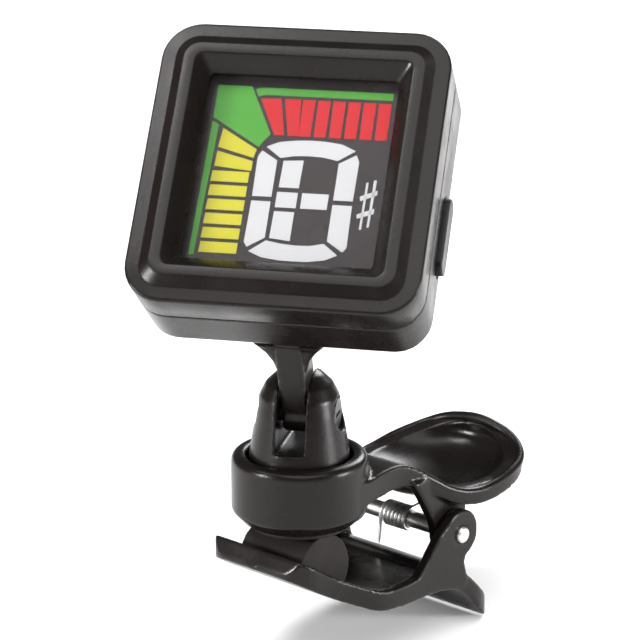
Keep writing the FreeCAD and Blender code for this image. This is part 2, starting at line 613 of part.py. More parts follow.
def ringShape():
    """The swivel ring: pocket for the bell, floor with a bore, recess for the washer."""
    profile = [(size("journalBore"), size("pocketFloorZ")), (size("ringInner"), size("pocketFloorZ")),
               (size("ringInner"), size("ringTopZ") - 0.3), (size("ringInner") + 0.3, size("ringTopZ")),
               (size("ringRadius") - 0.9, size("ringTopZ")), (size("ringRadius") - 0.3, size("ringTopZ") - 0.3),
               (size("ringRadius"), size("ringTopZ") - 0.9), (size("ringRadius"), size("ringWallZ")),
               (size("ringFootRadius"), size("ringFootZ")), (size("washerRecess"), size("ringFootZ")),
               (size("washerRecess"), size("floorUnderZ")), (size("journalBore"), size("floorUnderZ"))]
    outline = [vec(r, 0, z) for r, z in profile]
    wire = Part.makePolygon(outline + [outline[0]])
    return Part.Face(wire).revolve(vec(0, 0, 0), vec(0, 0, 1), 360)


upperRim = [(1.5, 7.5), (6.0, 7.5), (13.3, 7.3), (17.5, 4.6), (21.0, 2.3), (25.0, 1.2), (29.5, 1.3), (34.0, 2.1),
            (37.6, 3.1), (39.8, 4.5), (41.1, 6.1)]
upperRimDrop = [3.6, 3.6, 3.3, 2.5, 2.3, 2.3, 2.4, 2.4, 2.4, 2.5, 2.6]
upperPlan = [(1.0, 9.6), (4.5, 9.3), (9.0, 8.9), (13.3, 9.1), (17.5, 10.3), (21.0, 11.5), (25.0, 12.4), (29.5, 12.7),
             (34.0, 12.3), (37.8, 10.6), (40.0, 7.6), (40.9, 4.0), (41.1, 0.0)]
bowlCentre = vec(29.2, 0, 3.6)
bowlHollow = vec(10.9, 11.2, 4.6)
bowlShell = vec(12.2, 12.4, 6.2)


def ellipsoid(centre, halves):
    ball = Part.makeSphere(1.0)
    scale = FreeCAD.Matrix()
    scale.scale(halves.x, halves.y, halves.z)
    return ball.transformGeometry(scale).translated(centre)


def upperLever():
    """Ring, bridge, dished thumb pad and two inner ears in one moulding."""
    under = [(x, z - drop) for (x, z), drop in zip(upperRim, upperRimDrop)]
    plate = sideWeb(upperRim, under, 16)
    plate = plate.common(planPrism(mirroredOutline(upperPlan), -10, 20))
    shell = ellipsoid(bowlCentre, bowlShell)
    shell = shell.common(Part.makeBox(24, 30, 20, vec(17.5, -15, -18.6)))
    shape = plate.fuse(shell).cut(ellipsoid(bowlCentre, bowlHollow))
    x = size("pinX")
    z = size("pinZ")
    radius = size("innerEarRadius")
    outline = [(13.4, 4.6), (15.2, 2.0), (16.8, -0.6), (18.1, -3.0), (x - radius, z), (x, z),
               (x + radius, z), (x + radius, -0.5), (24.6, 0.6), (20.5, 1.5), (16.0, 4.6)]
    ears = []
    for side in (1, -1):
        ears.append(earPlate(outline, size("innerEarFace"), size("innerEarThickness"), side))
        start = size("innerEarFace") - size("innerEarThickness") if side > 0 else -size("innerEarFace")
        ears.append(drum(radius, x, z, start, size("innerEarThickness")))
    shape = shape.fuse(ears)
    shape = shape.cut(Part.makeCylinder(size("ringRadius") - 0.5, 30, vec(0, 0, -10)))
    shape = shape.fuse(ringShape())
    shape = shape.cut(drum(size("pinBore"), x, z, -20, 40))
    return shapePart("upper_lever", shape.removeSplitter())


lowerRim = [(-8.8, -1.3), (-5.0, -3.6), (-2.0, -5.5), (2.2, -7.7), (5.0, -8.8), (8.5, -9.15), (14.0, -9.1),
            (18.5, -9.6), (22.0, -10.6), (24.5, -12.5), (27.5, -15.3), (30.0, -17.7), (31.0, -18.9)]
lowerFoot = [(-10.3, -3.9), (-6.4, -6.3), (-3.3, -8.1), (1.0, -10.3), (4.2, -11.7), (8.0, -12.2),
             (14.0, -12.4), (17.0, -12.6), (20.3, -13.3), (23.2, -14.8), (25.6, -17.0), (27.9, -19.4),
             (29.4, -20.4)]
lowerPlan = [(-10.3, 0.0), (-10.1, 5.0), (-9.4, 7.6), (-8.0, 8.8), (-5.0, 9.2), (-2.0, 9.6), (1.5, 10.7),
             (4.5, 11.7), (8.0, 12.0), (18.0, 12.0), (24.0, 11.9), (28.0, 11.4), (30.3, 9.6), (31.0, 6.0),
             (31.0, 0.0)]
wellPlan = [(-7.6, 6.6), (-6.4, 7.7), (-2.0, 8.2), (1.5, 9.2), (4.5, 10.2), (18.5, 10.2)]


def lowerLever():
    """Jaw plate with a raised rim, thumb plate and two outer ears in one moulding."""
    plate = sideWeb(lowerRim, lowerFoot, 18)
    plate = plate.common(planPrism(mirroredOutline(lowerPlan), -30, 0))
    floor = [(x, z - 1.0) for x, z in lowerRim]
    well = sideWeb([(x, 4.0) for x, z in lowerRim], floor, 13.7)
    sides = [[vec(x, side * y, 0) for x, y in wellPlan] for side in (1, -1)]
    edges = [Part.LineSegment(a, b).toShape() for line in sides for a, b in zip(line, line[1:])]
    edges += [Part.LineSegment(sides[0][i], sides[1][i]).toShape() for i in (0, -1)]
    well = well.common(planPrism(edges, -30, 10))
    shape = plate.cut(well)
    x = size("pinX")
    z = size("pinZ")
    radius = size("outerEarRadius")
    outline = [(x - 2.9, z + 2.3), (17.2, -4.0), (14.7, -6.9), (12.1, -9.4), (8.0, -10.3), (8.0, -11.5),
               (23.0, -13.2), (23.6, -12.2), (22.8, -9.6), (23.6, -7.0), (x + radius, z), (x, z)]
    parts = []
    for side in (1, -1):
        parts.append(earPlate(outline, size("outerEarFace"), size("outerEarThickness"), side))
        start = size("outerEarFace") - size("outerEarThickness") if side > 0 else -size("outerEarFace")
        parts.append(drum(radius, x, z, start, size("outerEarThickness")))
    shape = shape.fuse(parts)
    shape = shape.cut(drum(size("pinRadius"), x, z, -20, 40))
    return shapePart("lower_lever", shape.removeSplitter())


# ---- pads, pin and spring ----

def lowerPad(lever):
    """A roll across the jaw, flat at its ends, bedded on the jaw plate."""
    radius = size("padRadius")
    length = 2 * size("padHalfLength")
    x = size("padCentreX")
    z = size("padTopZ") - radius
    roll = drum(radius, x, z, -length / 2, length)
    pad = roll.cut(lever.Shape)
    solids = sorted(pad.Solids, key=lambda solid: -solid.BoundBox.ZMax)
    return shapePart("lower_pad", solids[0])


def upperPad():
    """A disc under the ring's foot with a low plug in the washer recess."""
    body = newBody("upper_pad")
    disc = newSketch(body, "UpperPadDisc", "XY_Plane", z="<ringFootZ>")
    circles(disc, "2 * <upperPadRadius>", [("0", "0")])
    pad(body, disc, "<ringFootZ> - <upperPadZ>", down=True)
    plug = newSketch(body, "UpperPadPlug", "XY_Plane", z="<ringFootZ>")
    circles(plug, "2 * <washerRecess> - 0.04", [("0", "0")])
    pad(body, plug, "0.3")
    return body


def hingePin():
    rod = boundCylinder("PinRod", "<pinRadius>", "2 * <pinHalfLength>")
    doc.recompute()
    pin = doc.addObject("Part::Fillet", "hinge_pin")
    pin.Base = rod
    pin.Edges = [(i + 1, 0.5, 0.5) for i, edge in enumerate(rod.Shape.Edges)
                 if isinstance(edge.Curve, Part.Circle)]
    pin.Label = "hinge_pin"
    pin.Placement = FreeCAD.Placement(vec(size("pinX"), -size("pinHalfLength"), size("pinZ")),
                                      FreeCAD.Rotation(vec(1, 0, 0), -90))
    return pin


def torsionSpring():
    """A close coil round the pin, hooked on the lower jaw and pressing up under the thumb pad."""
    radius = size("coilRadius")
    reach = size("coilTurns") * size("coilPitch") / 2
    steps = round(size("coilTurns") * 12)
    turned = [(math.radians(180 - 30 * i), reach - size("coilPitch") * i / 12) for i in range(steps + 1)]
    track = [(-radius - 0.45, reach, -4.4), (-radius - 0.1, reach, -2.6), (-radius, reach, -1.2)]
    track += [(radius * math.cos(angle), y, radius * math.sin(angle)) for angle, y in turned]
    track += [(1.4, -reach, radius + 0.1), (4.4, -reach, radius + 0.4)]
    points = [vec(size("pinX") + x, y, size("pinZ") + z) for x, y, z in track]
    curve = Part.BSplineCurve()
    curve.interpolate(points)
    profile = Part.Wire([Part.Circle(points[0], points[1] - points[0], size("wireRadius")).toShape()])
    spring = Part.Wire([curve.toShape()]).makePipeShell([profile], True, False)
    return shapePart("torsion_spring", spring)


# ---- build, check and write ----

subParts = [
    "upper_lever", "lower_lever", "upper_pad", "lower_pad", "hinge_pin", "torsion_spring",
    "swivel_bell", "swivel_washer", "swivel_screw", "tilt_screw", "tilt_nut",
    "front_case", "rear_case", "display_window", "lcd_panel", "backlight_panel", "zebra_connector",
    "circuit_board", "controller_chip", "quartz_crystal", "piezo_disc", "tact_switch",
    "switch_plunger", "power_button", "coin_cell", "positive_contact", "negative_contact",
    "battery_door", "case_screws",
]


def build():
    upperLever()
    lowerPad(lowerLever())
    upperPad()
    hingePin()
    torsionSpring()
    swivelBell()
    swivelFastenings()
    tiltFastenings()
    frontCase()
    neck(rearCase())
    displayStack()
    circuitBoard()
    boardParts()
    powerSwitch()
    coinCell()
    contacts()
    batteryDoor()
    caseScrews()
    doc.recompute()


def checkAndWrite():
    for item in doc.Objects:
        if "Invalid" in item.State or "Error" in item.State:
            raise RuntimeError(f"{item.Name} failed: {item.State}")
    os.makedirs("parts", exist_ok=True)
    for label in subParts:
        shape = doc.getObjectsByLabel(label)[0].Shape
        if shape.isNull() or not shape.isValid():
            raise RuntimeError(f"{label} has no valid shape")
        print(f"{label}: {len(shape.Solids)} solid(s), {shape.Volume:.1f} mm3")
        shape.exportStep(f"parts/{label}.step")


build()
checkAndWrite()
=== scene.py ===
import json
import math

import bmesh
import bpy
from mathutils import Matrix, Vector


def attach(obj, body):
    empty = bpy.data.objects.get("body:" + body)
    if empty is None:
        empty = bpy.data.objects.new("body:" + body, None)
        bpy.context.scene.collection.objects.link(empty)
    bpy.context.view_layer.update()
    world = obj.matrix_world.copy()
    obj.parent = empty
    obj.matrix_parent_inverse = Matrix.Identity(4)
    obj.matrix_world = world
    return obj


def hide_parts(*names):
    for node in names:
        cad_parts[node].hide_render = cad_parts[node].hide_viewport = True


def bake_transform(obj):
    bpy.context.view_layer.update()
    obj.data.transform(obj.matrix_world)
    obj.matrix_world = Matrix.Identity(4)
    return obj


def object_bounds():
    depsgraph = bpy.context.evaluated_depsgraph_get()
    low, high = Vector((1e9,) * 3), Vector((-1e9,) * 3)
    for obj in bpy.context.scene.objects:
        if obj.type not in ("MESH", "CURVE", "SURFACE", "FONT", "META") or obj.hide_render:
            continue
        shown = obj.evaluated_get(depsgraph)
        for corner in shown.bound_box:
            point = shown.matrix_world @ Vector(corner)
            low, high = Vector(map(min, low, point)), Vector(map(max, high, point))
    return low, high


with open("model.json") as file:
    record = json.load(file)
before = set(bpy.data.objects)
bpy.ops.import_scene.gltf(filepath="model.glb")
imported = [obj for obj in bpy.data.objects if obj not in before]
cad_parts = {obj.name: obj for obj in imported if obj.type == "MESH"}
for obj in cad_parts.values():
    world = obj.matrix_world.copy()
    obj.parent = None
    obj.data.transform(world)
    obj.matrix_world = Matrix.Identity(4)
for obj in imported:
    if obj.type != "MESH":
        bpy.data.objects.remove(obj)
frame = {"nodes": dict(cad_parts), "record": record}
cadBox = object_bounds()
record = frame["record"]
slotOf = {part["node"]: part["material_slot"] for part in record["subparts"]}
bodyOf = {node: body for body, nodes in record["behaviour"]["bodies"].items() for node in nodes}
joints = {joint["name"]: joint for joint in record["behaviour"]["joints"]}
mm = 0.001


# the head's own frame: x to the right of the screen, y up it, z out of it
def findHeadFrame():
    tilt = joints["head_tilt"]
    across = Vector(tilt["axis"])
    lean = math.radians(-tilt["range_deg"][0])
    turn = Matrix.Rotation(math.atan2(across.y, across.x), 4, "Z")
    return Matrix.Translation(Vector(tilt["pos_m"])) @ turn @ Matrix.Rotation(lean, 4, "X")


headFrame = findHeadFrame()


def headBox(node):
    inward = headFrame.inverted()
    points = [inward @ vertex.co for vertex in frame["nodes"][node].data.vertices]
    low = Vector([min(point[axis] for point in points) for axis in range(3)])
    high = Vector([max(point[axis] for point in points) for axis in range(3)])
    return low, high


bevelSamples = 4
edgeWear = dict(reach=1.3, worn=0.55, whole=0.92, patchFiner=3, patchDetail=4.0, patchLow=0.25)
noiseDetail = dict(mottle=4.0, gloss=3.0, grain=2.0)
glossDrop = 0.05
coatRoughness = 0.12


def startFinish(name, colour, roughness, metallic=0.0):
    material = bpy.data.materials.new(name + "_finish")
    material.use_nodes = True
    tree = material.node_tree
    shader = tree.nodes["Principled BSDF"]
    shader.inputs["Base Color"].default_value = (*colour, 1)
    shader.inputs["Roughness"].default_value = roughness
    shader.inputs["Metallic"].default_value = metallic
    place = tree.nodes.new("ShaderNodeTexCoord")
    return material, tree, shader, place.outputs["Object"]


def addNoise(tree, place, scale, detail=3.0, stretch=None):
    noise = tree.nodes.new("ShaderNodeTexNoise")
    noise.inputs["Scale"].default_value = scale
    noise.inputs["Detail"].default_value = detail
    if stretch is not None:
        mapping = tree.nodes.new("ShaderNodeMapping")
        mapping.inputs["Scale"].default_value = stretch
        tree.links.new(place, mapping.inputs["Vector"])
        place = mapping.outputs["Vector"]
    tree.links.new(place, noise.inputs["Vector"])
    return noise.outputs["Fac"]


def addRange(tree, value, low, high, fromLow=0.3, fromHigh=0.7):
    span = tree.nodes.new("ShaderNodeMapRange")
    span.inputs["From Min"].default_value = fromLow
    span.inputs["From Max"].default_value = fromHigh
    span.inputs["To Min"].default_value = low
    span.inputs["To Max"].default_value = high
    tree.links.new(value, span.inputs["Value"])
    return span.outputs["Result"]


def addMix(tree, factor, first, second):
    mix = tree.nodes.new("ShaderNodeMix")
    mix.data_type = "RGBA"
    tree.links.new(factor, mix.inputs["Factor"])
    for socket, colour in (("A", first), ("B", second)):
        slot = [item for item in mix.inputs if item.name == socket and item.type == "RGBA"][0]
        if isinstance(colour, tuple):
            slot.default_value = (*colour, 1)
        else:
            tree.links.new(colour, slot)
    return [item for item in mix.outputs if item.type == "RGBA"][0]


def addRelief(tree, shader, height, strength, depth, edge):
    relief = tree.nodes.new("ShaderNodeBump")
    relief.inputs["Strength"].default_value = strength
    relief.inputs["Distance"].default_value = depth
    tree.links.new(height, relief.inputs["Height"])
    if edge > 0:
        rounded = tree.nodes.new("ShaderNodeBevel")
        rounded.samples = bevelSamples
        rounded.inputs["Radius"].default_value = edge
        tree.links.new(rounded.outputs["Normal"], relief.inputs["Normal"])
    tree.links.new(relief.outputs["Normal"], shader.inputs["Normal"])


# where a rounded normal leaves the true one there is an edge, which rubs pale in broken patches
def addEdgeMask(tree, place, look):
    rounded = tree.nodes.new("ShaderNodeBevel")
    rounded.samples = bevelSamples
    rounded.inputs["Radius"].default_value = look["edge"] * edgeWear["reach"]
    facing = tree.nodes.new("ShaderNodeVectorMath")
    facing.operation = "DOT_PRODUCT"
    tree.links.new(rounded.outputs["Normal"], facing.inputs[0])
    tree.links.new(tree.nodes.new("ShaderNodeNewGeometry").outputs["Normal"], facing.inputs[1])
    edge = addRange(tree, facing.outputs["Value"], look["wear"], 0.0, edgeWear["worn"], edgeWear["whole"])
    broken = addNoise(tree, place, look["patch"] * edgeWear["patchFiner"], edgeWear["patchDetail"])
    patches = addRange(tree, broken, edgeWear["patchLow"], 1.0)
    joint = tree.nodes.new("ShaderNodeMath")
    joint.operation = "MULTIPLY"
    tree.links.new(edge, joint.inputs[0])
    tree.links.new(patches, joint.inputs[1])
    return joint.outputs["Value"]


def shade(colour, amount):
    return tuple(min(1.0, channel * amount) for channel in colour)


# a finish with mottled colour, worn edges, uneven gloss and a fine grain
def makeFinish(name, look):
    base = look["colour"]
    material, tree, shader, place = startFinish(name, base, look["roughness"], look["metal"])
    mottle = addRange(tree, addNoise(tree, place, look["mottle"], noiseDetail["mottle"]), 0.0, 1.0)
    colour = addMix(tree, mottle, shade(base, 1 - look["spread"]), shade(base, 1 + look["spread"]))
    if look["wear"] > 0:
        colour = addMix(tree, addEdgeMask(tree, place, look), colour, look["worn"])
    tree.links.new(colour, shader.inputs["Base Color"])
    gloss = addNoise(tree, place, look["patch"], noiseDetail["gloss"], look.get("stretch"))
    rough = addRange(tree, gloss, look["roughness"] - glossDrop, look["roughness"] + look["uneven"])
    tree.links.new(rough, shader.inputs["Roughness"])
    grain = addNoise(tree, place, look["grain"], noiseDetail["grain"], look.get("stretch"))
    addRelief(tree, shader, grain, look["strength"], look["depth"], look["edge"])
    shader.inputs["Specular IOR Level"].default_value = look.get("specular", 0.5)
    if "coat" in look:
        shader.inputs["Coat Weight"].default_value = look["coat"]
        shader.inputs["Coat Roughness"].default_value = coatRoughness
    if "glow" in look:
        shader.inputs["Emission Color"].default_value = (*base, 1)
        shader.inputs["Emission Strength"].default_value = look["glow"]
    if "alpha" in look:
        shader.inputs["Alpha"].default_value = look["alpha"]
    return material


plastic = dict(metal=0.0, mottle=90.0, spread=0.10, wear=0.25, worn=(0.035, 0.033, 0.033), patch=160.0,
               uneven=0.10, grain=5200.0, strength=0.35, depth=0.00003, edge=0.00022)
metal = dict(metal=1.0, mottle=300.0, spread=0.06, wear=0.3, worn=(0.86, 0.85, 0.84), patch=500.0,
             uneven=0.12, grain=2600.0, strength=0.25, depth=0.00002, edge=0.0001)

looks = {
    "black_case": dict(plastic, colour=(0.0078, 0.0058, 0.0052), roughness=0.25, specular=0.20),
    "grip_rubber": dict(plastic, colour=(0.013, 0.010, 0.009), roughness=0.70, grain=2600.0, strength=0.6,
                        depth=0.00006, wear=0.15, worn=(0.04, 0.034, 0.03), specular=0.25),
    "pin_steel": dict(metal, colour=(0.60, 0.59, 0.58), roughness=0.36, stretch=(6.0, 0.6, 6.0)),
    "spring_steel": dict(metal, colour=(0.88, 0.87, 0.85), roughness=0.34),
    # the dark grey on these steel screws is painted shade: it stands for the dark recesses their heads sit
    # in
    "screw_steel": dict(metal, colour=(0.16, 0.155, 0.15), roughness=0.34, worn=(0.5, 0.5, 0.5)),
    "screw_black": dict(plastic, colour=(0.03, 0.03, 0.03), roughness=0.42, wear=0.5,
                        worn=(0.25, 0.25, 0.25)),
    "clear_window": dict(plastic, colour=(0.05, 0.05, 0.06), roughness=0.06, alpha=0.035, edge=0.0, wear=0.0,
                         strength=0.02, grain=400.0),
    "lcd_glass": dict(plastic, colour=(0.026, 0.021, 0.021), roughness=0.22, specular=0.15, wear=0.0,
                      edge=0.0, strength=0.05, glow=0.12),
    "light_guide": dict(plastic, colour=(0.80, 0.80, 0.77), roughness=0.45, worn=(0.9, 0.9, 0.88)),
    "connector_rubber": dict(plastic, colour=(0.50, 0.30, 0.36), roughness=0.7, worn=(0.6, 0.45, 0.5)),
    "board": dict(plastic, colour=(0.02, 0.13, 0.05), roughness=0.35, worn=(0.4, 0.45, 0.3), mottle=700.0,
                  spread=0.35, patch=900.0, coat=0.4),
    "chip_resin": dict(plastic, colour=(0.015, 0.015, 0.015), roughness=0.3, coat=0.6),
    "can_steel": dict(metal, colour=(0.74, 0.74, 0.73), roughness=0.20, stretch=(1.0, 5.0, 1.0)),
    "sensor_brass": dict(metal, colour=(0.72, 0.56, 0.27), roughness=0.32),
    "switch_plastic": dict(plastic, colour=(0.06, 0.06, 0.06), roughness=0.5),
    "button_black": dict(plastic, colour=(0.010, 0.009, 0.009), roughness=0.34, specular=0.30),
    "contact_metal": dict(metal, colour=(0.68, 0.64, 0.52), roughness=0.3, stretch=(1.0, 8.0, 1.0)),
}
finishes = {name: makeFinish(name, look) for name, look in looks.items()}
print("finishes made:", len(finishes))


def clearSelection():
    bpy.ops.object.select_all(action="DESELECT")


def pick(piece):
    clearSelection()
    piece.select_set(True)
    bpy.context.view_layer.objects.active = piece


def dress(piece, finish, body, slotName, *nodes):
    piece.data.materials.clear()
    piece.data.materials.append(finish)
    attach(piece, body)
    if nodes:
        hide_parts(*nodes)
    return piece


def settle(piece):
    pick(piece)
    bpy.ops.object.transform_apply(location=True, rotation=True, scale=True)


mergeGap = 0.000002
smoothAngle = math.radians(30)


# a merged copy of a CAD node's mesh, shaded smooth everywhere but at its sharp edges
def easedCopy(node):
    source = frame["nodes"][node]
    piece = bpy.data.objects.new(node + "_eased", source.data.copy())
    bpy.context.scene.collection.objects.link(piece)
    pick(piece)
    bpy.ops.object.mode_set(mode="EDIT")
    bpy.ops.mesh.select_all(action="SELECT")
    bpy.ops.mesh.customdata_custom_splitnormals_clear()
    bpy.ops.mesh.remove_doubles(threshold=mergeGap)
    bpy.ops.object.mode_set(mode="OBJECT")
    bpy.ops.object.shade_smooth_by_angle(angle=smoothAngle)
    return piece


# a soft-edged moulding: the node's form rebuilt at an even grain, in mm, and its edges rolled over
rollFactor = 0.5
moulded = {
    "upper_lever": dict(grain=0.26, passes=7),
    "lower_lever": dict(grain=0.26, passes=7),
    "rear_case": dict(grain=0.34, passes=3),
    "swivel_bell": dict(grain=0.20, passes=5),
    "lower_pad": dict(grain=0.20, passes=3),
    "upper_pad": dict(grain=0.25, passes=3),
    "power_button": dict(grain=0.16, passes=3),
}


def mouldedCopy(node, look):
    piece = easedCopy(node)
    piece.name = node + "_moulded"
    rebuild = piece.modifiers.new("rebuild", "REMESH")
    rebuild.mode = "VOXEL"
    rebuild.voxel_size = look["grain"] * mm
    rebuild.use_smooth_shade = True
    bpy.ops.object.modifier_apply(modifier="rebuild")
    roll = piece.modifiers.new("roll", "SMOOTH")
    roll.factor = rollFactor
    roll.iterations = look["passes"]
    bpy.ops.object.modifier_apply(modifier="roll")
    bpy.ops.object.shade_smooth()
    return piece


made = {"front_case", "torsion_spring"}
for node, slotName in slotOf.items():
    if node in made:
        continue
    piece = mouldedCopy(node, moulded[node]) if node in moulded else easedCopy(node)
    dress(piece, finishes[slotName], bodyOf[node], slotName, node)
print("pieces carried over:", len(slotOf) - len(made))


# the lit picture on the LCD, in mm from the middle of the head
screen = dict(
    thick=0.06, gap=0.01, glow=0.09,
    green=(0.052, 0.235, 0.026), red=(0.400, 0.010, 0.013), yellow=(0.400, 0.370, 0.018),
    white=(0.430, 0.430, 0.440),
    cornerLight=[(-12.4, 13.1), (-7.6, 13.1), (-3.9, 5.9), (-4.7, 4.9), (-5.3, 3.9), (-12.4, 8.1)],
    topStrip=[(-7.0, 12.7), (-5.9, 13.0), (12.4, 13.0), (12.4, 11.9), (-5.4, 11.9), (-6.5, 11.6)],
    sideStrip=[(-12.4, 7.5), (-11.4, 7.0), (-11.9, -12.7), (-12.6, -12.7)],
    leaningRed=[[(-6.1, 11.3), (-3.2, 11.4), (-2.0, 5.8), (-3.4, 5.8)],
                [(-2.7, 11.4), (-0.4, 11.4), (0.0, 5.8), (-1.5, 5.8)]],
    leaningYellow=[[(-10.7, 6.5), (-5.5, 3.5), (-5.8, 2.2), (-11.0, 3.6)],
                   [(-11.0, 3.0), (-5.8, 1.7), (-5.8, 0.2), (-11.1, 0.7)]],
    bars=6, barPitch=2.13, barWide=1.75, barLean=0.1, redStart=-0.1, redLow=5.8, redHigh=11.4,
    yellowTall=1.6, yellowLeft=-11.2, yellowRight=-6.0,
    middle=1.9,
    arcTop=[(-6.1, 4.0), (-4.4, 4.8), (-2.0, 5.15), (0.0, 5.25), (2.0, 5.2), (4.4, 4.9), (6.4, 4.0),
            (4.1, 2.4), (2.0, 2.8), (0.0, 2.9), (-2.0, 2.8), (-3.9, 2.4)],
    arcBottom=[(-4.1, -10.0), (-2.0, -10.35), (0.0, -10.5), (2.0, -10.45), (3.9, -10.0), (6.0, -11.6),
               (4.4, -12.4), (2.0, -12.8), (0.0, -12.85), (-2.0, -12.8), (-4.4, -12.5), (-6.3, -11.7)],
    sideUpper=[(6.6, 3.4), (4.3, 2.0), (4.3, -3.5), (7.0, -3.5), (7.1, 2.4)],
    sideLower=[(7.0, -4.2), (4.3, -4.2), (4.3, -9.6), (6.6, -11.1), (7.1, -10.4)],
    blocks=[[(-3.4, 2.0), (-0.6, 2.2), (-0.7, -2.0), (-3.5, -2.0)],
            [(-3.6, -2.7), (-0.7, -2.7), (-0.7, -5.0), (-3.6, -5.0)],
            [(-3.6, -5.6), (-0.8, -5.6), (-0.8, -9.9), (-3.7, -9.6)],
            [(-0.1, -2.7), (3.6, -2.7), (3.6, -5.0), (-0.1, -5.0)]],
    sharp=[[(8.5, -0.6), (8.8, -0.6), (8.7, -7.6), (8.4, -7.6)],
           [(9.5, -0.2), (9.9, -0.2), (9.7, -7.2), (9.4, -7.2)],
           [(7.9, -2.7), (10.2, -1.7), (10.2, -2.4), (8.0, -3.4)],
           [(7.8, -5.4), (10.1, -4.4), (10.1, -5.2), (7.9, -6.0)]],
)
screenLook = dict(plastic, roughness=0.4, wear=0.0, edge=0.0, spread=0.03, specular=0.15, strength=0.03,
                  glow=screen["glow"])


def glowFinish(name, colour):
    return makeFinish(name, dict(screenLook, colour=colour))


def inlay(name, outlines, height, finish):
    flat = bpy.data.curves.new(name, "CURVE")
    flat.dimensions = "2D"
    flat.fill_mode = "BOTH"
    flat.extrude = screen["thick"] * mm / 2
    for outline in outlines:
        line = flat.splines.new("POLY")
        line.points.add(len(outline) - 1)
        for point, (x, y) in zip(line.points, outline):
            point.co = (x * mm, y * mm, 0, 1)
        line.use_cyclic_u = True
    piece = bpy.data.objects.new(name, flat)
    bpy.context.scene.collection.objects.link(piece)
    pick(piece)
    bpy.ops.object.convert(target="MESH")
    piece = bpy.context.active_object
    piece.matrix_world = headFrame @ Matrix.Translation(Vector((0, headCentreY, height)))
    settle(piece)
    return dress(piece, finish, "head", "lcd_glass")


def mirrored(outline):
    return [(-x, y) for x, y in outline]


def shifted(outline):
    return [(x + screen["middle"], y) for x, y in outline]


lcdTop = headBox("lcd_panel")[1].z
caseLow, caseHigh = headBox("front_case")
headCentreY = (caseLow.y + caseHigh.y) / 2
inlayHeight = lcdTop + (screen["thick"] / 2 + screen["gap"]) * mm


# the bars of one colour lean beside the corner light and then stand in an even row
def redBars():
    bars = list(screen["leaningRed"])
    low, high = screen["redLow"], screen["redHigh"]
    for i in range(screen["bars"]):
        left = screen["redStart"] + i * screen["barPitch"]
        right = left + screen["barWide"]
        bars.append([(left, high), (right, high), (right, low), (left + screen["barLean"], low)])
    return bars


def yellowBars():
    bars = list(screen["leaningYellow"])
    left, right = screen["yellowLeft"], screen["yellowRight"]
    for i in range(screen["bars"]):
        high = -i * screen["barPitch"]
        low = high - screen["yellowTall"]
        bars.append([(left, high), (right, high), (right, low), (left - screen["barLean"], low)])
    return bars


def whiteSegments():
    sides = [screen["sideUpper"], screen["sideLower"]]
    sides += [mirrored(side) for side in sides]
    segments = [screen["arcTop"], screen["arcBottom"]] + sides + screen["blocks"] + screen["sharp"]
    return [shifted(outline) for outline in segments]


def makeScreen():
    green = [screen["cornerLight"], screen["topStrip"], screen["sideStrip"]]
    inlay("screen_green", green, inlayHeight, glowFinish("screenGreen", screen["green"]))
    inlay("screen_red", redBars(), inlayHeight, glowFinish("screenRed", screen["red"]))
    inlay("screen_yellow", yellowBars(), inlayHeight, glowFinish("screenYellow", screen["yellow"]))
    inlay("screen_white", whiteSegments(), inlayHeight, glowFinish("screenWhite", screen["white"]))


makeScreen()
print("screen made")


# the front case with its stepped bezel, in mm
bezel = dict(
    draft=1.6, corner=5.5, cornerDraft=0.3, edge=0.35, turned=0.3, wall=1.6, turns=8, ease=0.16,
    # inset from the outline, height above the flange, corner radius
    steps=[(2.1, 0.0, 3.2), (3.5, 1.0, 2.4), (5.0, 1.0, 1.3), (7.1, -1.3, 0.6), (7.1, -1.7, 0.6)],
)


def addLoop(width, height, radius, z, y, turns):
    middle = (0, y * mm, z * mm)
    bpy.ops.mesh.select_all(action="DESELECT")
    bpy.ops.mesh.primitive_plane_add(size=1, location=middle)
    bpy.ops.transform.resize(value=(width * mm, height * mm, 1), center_override=middle)
    bpy.ops.mesh.bevel(offset=radius * mm, segments=turns, affect="VERTICES")
    bpy.ops.mesh.delete(type="ONLY_FACE")


# quads between two loops of one count, matched by their order round the middle
def bridgeLoops(piece, first, second, count):
    mesh = bmesh.from_edit_mesh(piece.data)
    mesh.verts.ensure_lookup_table()
    rings = []
    for loop in (first, second):
        verts = list(mesh.verts)[loop * count:(loop + 1) * count]
        middle = sum(vertex.co.y for vertex in verts) / count
        rings.append(sorted(verts, key=lambda vertex: math.atan2(vertex.co.y - middle, vertex.co.x)))
    for i in range(count):
        j = (i + 1) % count
        mesh.faces.new((rings[0][i], rings[0][j], rings[1][j], rings[1][i]))
    bmesh.update_edit_mesh(piece.data)


# a closed shell through a list of rounded rectangles, each (width, height, corner radius, z, y).
# A tube's last loop joins its first; a plug's two ends are capped.
def loftedShell(name, loops, turns, plug=False):
    clearSelection()
    bpy.ops.mesh.primitive_plane_add(size=1)
    piece = bpy.context.active_object
    piece.name = name
    count = 4 * (turns + 1)
    bpy.ops.object.mode_set(mode="EDIT")
    bpy.ops.mesh.select_all(action="SELECT")
    bpy.ops.mesh.delete(type="VERT")
    bpy.ops.mesh.select_mode(type="EDGE")
    for width, height, radius, z, *y in loops:
        addLoop(width, height, radius, z, y[0] if y else 0, turns)
    for i in range(len(loops) - (1 if plug else 0)):
        bridgeLoops(piece, i, (i + 1) % len(loops), count)
    if plug:
        bpy.ops.mesh.select_all(action="DESELECT")
        bpy.ops.mesh.select_non_manifold()
        bpy.ops.mesh.edge_face_add()
    bpy.ops.mesh.select_mode(type="FACE")
    bpy.ops.mesh.select_all(action="SELECT")
    bpy.ops.mesh.normals_make_consistent(inside=False)
    bpy.ops.object.mode_set(mode="OBJECT")
    return piece


easing = dict(segments=2, limit=math.radians(20), smooth=math.radians(35))


